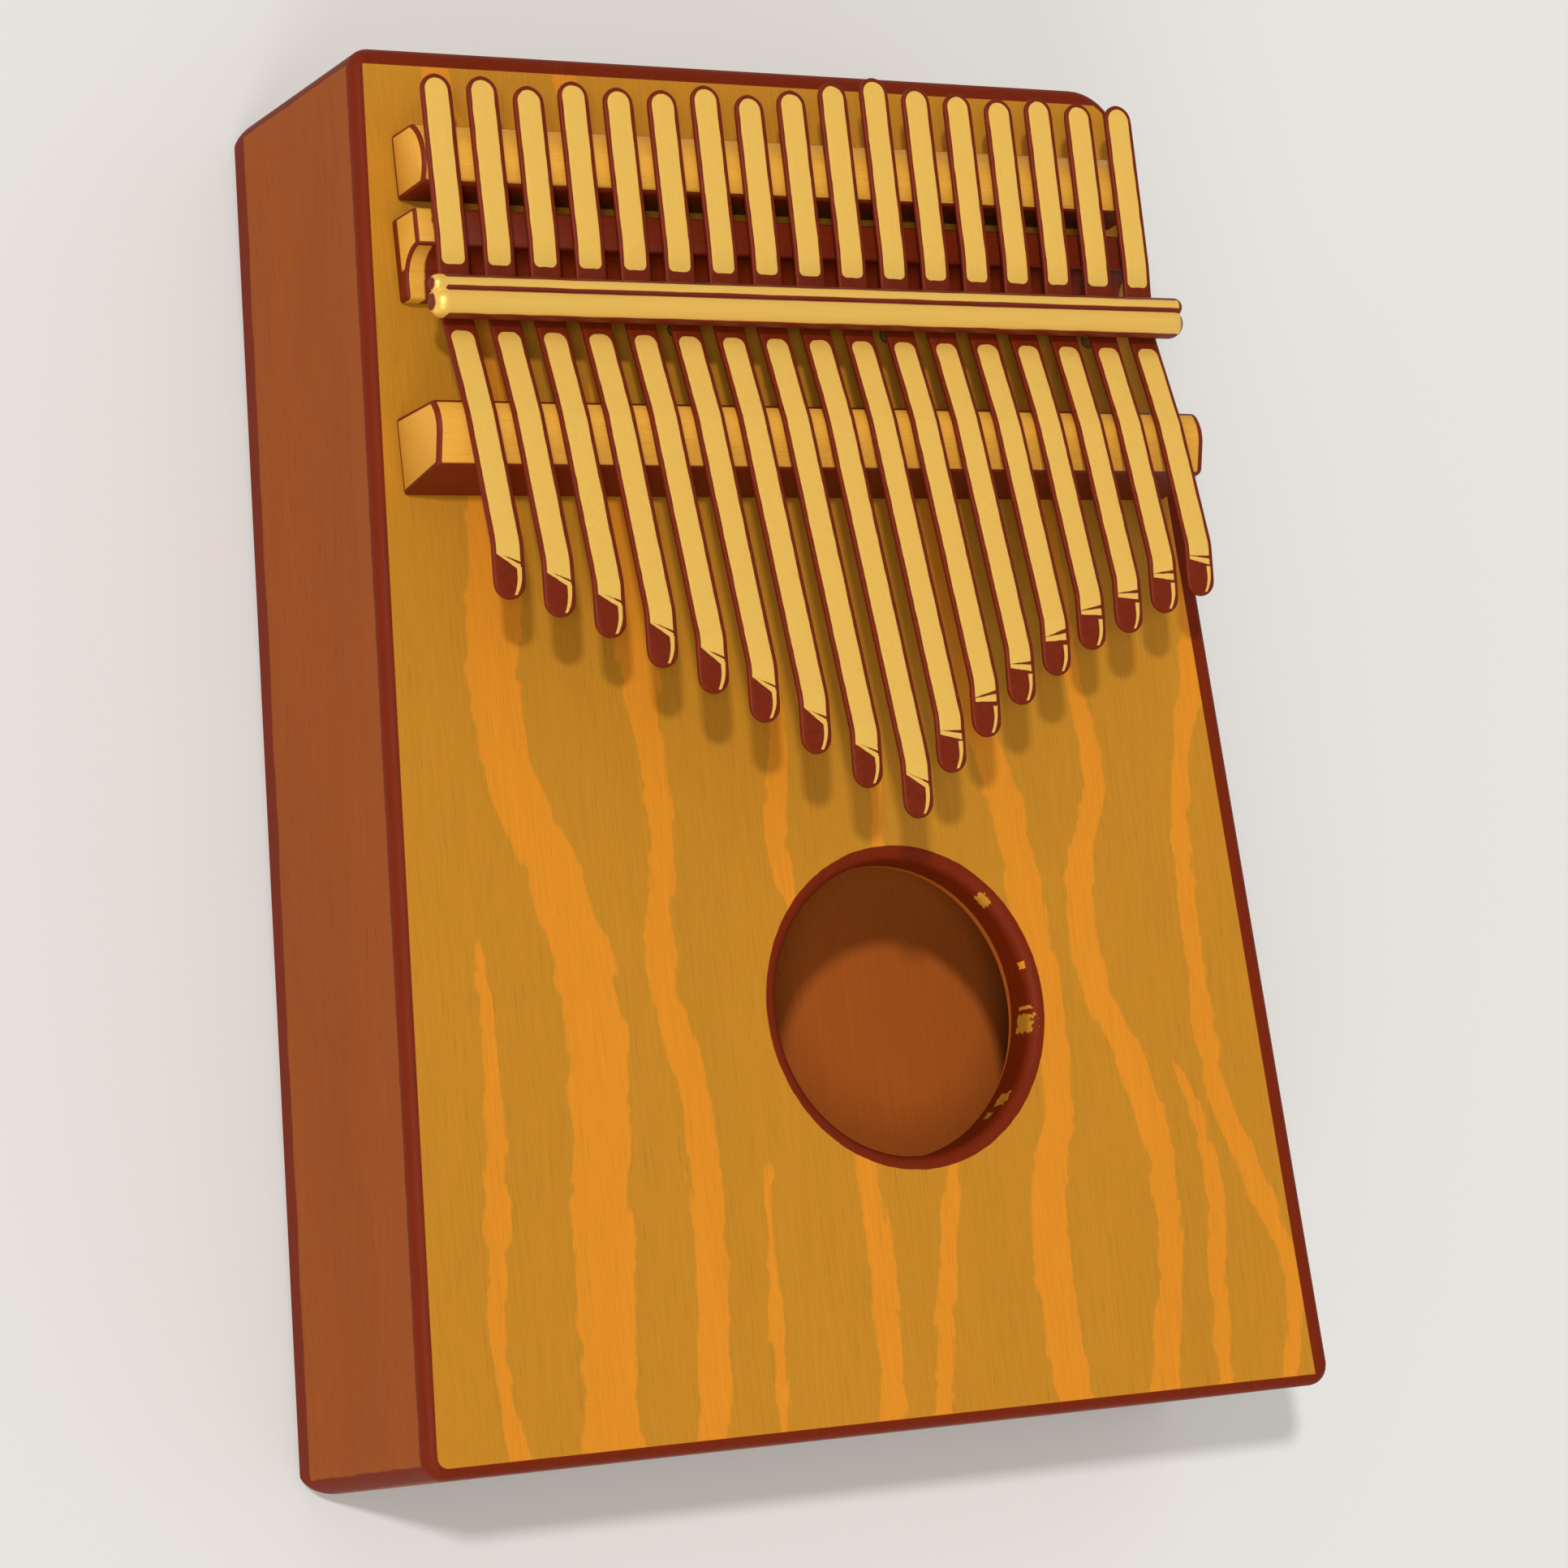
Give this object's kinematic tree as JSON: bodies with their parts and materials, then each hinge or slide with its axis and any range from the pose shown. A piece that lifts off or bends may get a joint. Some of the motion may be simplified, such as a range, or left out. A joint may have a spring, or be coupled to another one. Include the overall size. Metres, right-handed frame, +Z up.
{
  "type": "mbira",
  "caption": "Hollow box mbira (thumb piano): a tapered wooden box with a round sound hole and a row of sprung metal tines held over wooden bridges by a brass pressure bar.",
  "frame": {"origin": "centre of the box's back face, on the surface that it lies on", "axes": "+X across the width to the player's right with the tips towards the player, +Y along the length towards the tails of the tines, +Z up out of the soundboard"},
  "size_m": [0.1436, 0.19, 0.0617],
  "materials": {
    "soundboard_wood": "satin lacquered golden-brown wood with broad wavy grain",
    "body_wood": "satin lacquered red-brown wood",
    "bridge_wood": "light honey-coloured hardwood, oiled",
    "tine_steel": "pale gold-plated spring steel, satin",
    "bar_brass": "polished yellow brass",
    "fastener_steel": "zinc-plated steel"
  },
  "bodies": {
    "box": {"back_board": "body_wood", "left_side": "body_wood", "right_side": "body_wood", "head_block": "body_wood", "foot_block": "body_wood", "soundboard": "soundboard_wood", "bridge_brace": "bridge_wood", "rear_bridge": "bridge_wood", "middle_block": "bridge_wood", "front_bridge": "bridge_wood", "pressure_bar": "bar_brass", "pressure_bar_studs": "fastener_steel", "stud_washers": "fastener_steel", "stud_nuts": "fastener_steel", "tine_01_tail": "tine_steel", "tine_02_tail": "tine_steel", "tine_03_tail": "tine_steel", "tine_04_tail": "tine_steel", "tine_05_tail": "tine_steel", "tine_06_tail": "tine_steel", "tine_07_tail": "tine_steel", "tine_08_tail": "tine_steel", "tine_09_tail": "tine_steel", "tine_10_tail": "tine_steel", "tine_11_tail": "tine_steel", "tine_12_tail": "tine_steel", "tine_13_tail": "tine_steel", "tine_14_tail": "tine_steel", "tine_15_tail": "tine_steel", "tine_16_tail": "tine_steel", "tine_17_tail": "tine_steel"},
    "tine_01": {"tine_01_blade": "tine_steel"},
    "tine_02": {"tine_02_blade": "tine_steel"},
    "tine_03": {"tine_03_blade": "tine_steel"},
    "tine_04": {"tine_04_blade": "tine_steel"},
    "tine_05": {"tine_05_blade": "tine_steel"},
    "tine_06": {"tine_06_blade": "tine_steel"},
    "tine_07": {"tine_07_blade": "tine_steel"},
    "tine_08": {"tine_08_blade": "tine_steel"},
    "tine_09": {"tine_09_blade": "tine_steel"},
    "tine_10": {"tine_10_blade": "tine_steel"},
    "tine_11": {"tine_11_blade": "tine_steel"},
    "tine_12": {"tine_12_blade": "tine_steel"},
    "tine_13": {"tine_13_blade": "tine_steel"},
    "tine_14": {"tine_14_blade": "tine_steel"},
    "tine_15": {"tine_15_blade": "tine_steel"},
    "tine_16": {"tine_16_blade": "tine_steel"},
    "tine_17": {"tine_17_blade": "tine_steel"}
  },
  "joints": [
    {"name": "tine_01_spring", "type": "hinge", "parent": "box", "child": "tine_01", "pos_m": [-0.05496, 0.0411, 0.05252], "axis": [1, 0, 0], "range_deg": [-3, 5], "stiffness_Nm_per_rad": 6.73},
    {"name": "tine_02_spring", "type": "hinge", "parent": "box", "child": "tine_02", "pos_m": [-0.04809, 0.0411, 0.05252], "axis": [1, 0, 0], "range_deg": [-3, 5], "stiffness_Nm_per_rad": 6.12},
    {"name": "tine_03_spring", "type": "hinge", "parent": "box", "child": "tine_03", "pos_m": [-0.04122, 0.0411, 0.05252], "axis": [1, 0, 0], "range_deg": [-3, 5], "stiffness_Nm_per_rad": 5.53},
    {"name": "tine_04_spring", "type": "hinge", "parent": "box", "child": "tine_04", "pos_m": [-0.03435, 0.0411, 0.05252], "axis": [1, 0, 0], "range_deg": [-3, 5], "stiffness_Nm_per_rad": 4.86},
    {"name": "tine_05_spring", "type": "hinge", "parent": "box", "child": "tine_05", "pos_m": [-0.02748, 0.0411, 0.05252], "axis": [1, 0, 0], "range_deg": [-3, 5], "stiffness_Nm_per_rad": 4.39},
    {"name": "tine_06_spring", "type": "hinge", "parent": "box", "child": "tine_06", "pos_m": [-0.02061, 0.0411, 0.05252], "axis": [1, 0, 0], "range_deg": [-3, 5], "stiffness_Nm_per_rad": 3.96},
    {"name": "tine_07_spring", "type": "hinge", "parent": "box", "child": "tine_07", "pos_m": [-0.01374, 0.0411, 0.05252], "axis": [1, 0, 0], "range_deg": [-3, 5], "stiffness_Nm_per_rad": 3.58},
    {"name": "tine_08_spring", "type": "hinge", "parent": "box", "child": "tine_08", "pos_m": [-0.00687, 0.0411, 0.05252], "axis": [1, 0, 0], "range_deg": [-3, 5], "stiffness_Nm_per_rad": 3.24},
    {"name": "tine_09_spring", "type": "hinge", "parent": "box", "child": "tine_09", "pos_m": [0, 0.0411, 0.05252], "axis": [1, 0, 0], "range_deg": [-3, 5], "stiffness_Nm_per_rad": 2.99},
    {"name": "tine_10_spring", "type": "hinge", "parent": "box", "child": "tine_10", "pos_m": [0.00687, 0.0411, 0.05252], "axis": [1, 0, 0], "range_deg": [-3, 5], "stiffness_Nm_per_rad": 3.36},
    {"name": "tine_11_spring", "type": "hinge", "parent": "box", "child": "tine_11", "pos_m": [0.01374, 0.0411, 0.05252], "axis": [1, 0, 0], "range_deg": [-3, 5], "stiffness_Nm_per_rad": 3.73},
    {"name": "tine_12_spring", "type": "hinge", "parent": "box", "child": "tine_12", "pos_m": [0.02061, 0.0411, 0.05252], "axis": [1, 0, 0], "range_deg": [-3, 5], "stiffness_Nm_per_rad": 4.14},
    {"name": "tine_13_spring", "type": "hinge", "parent": "box", "child": "tine_13", "pos_m": [0.02748, 0.0411, 0.05252], "axis": [1, 0, 0], "range_deg": [-3, 5], "stiffness_Nm_per_rad": 4.61},
    {"name": "tine_14_spring", "type": "hinge", "parent": "box", "child": "tine_14", "pos_m": [0.03435, 0.0411, 0.05252], "axis": [1, 0, 0], "range_deg": [-3, 5], "stiffness_Nm_per_rad": 5.13},
    {"name": "tine_15_spring", "type": "hinge", "parent": "box", "child": "tine_15", "pos_m": [0.04122, 0.0411, 0.05252], "axis": [1, 0, 0], "range_deg": [-3, 5], "stiffness_Nm_per_rad": 5.53},
    {"name": "tine_16_spring", "type": "hinge", "parent": "box", "child": "tine_16", "pos_m": [0.04809, 0.0411, 0.05252], "axis": [1, 0, 0], "range_deg": [-3, 5], "stiffness_Nm_per_rad": 6.12},
    {"name": "tine_17_spring", "type": "hinge", "parent": "box", "child": "tine_17", "pos_m": [0.05496, 0.0411, 0.05252], "axis": [1, 0, 0], "range_deg": [-3, 5], "stiffness_Nm_per_rad": 6.73}
  ]
}
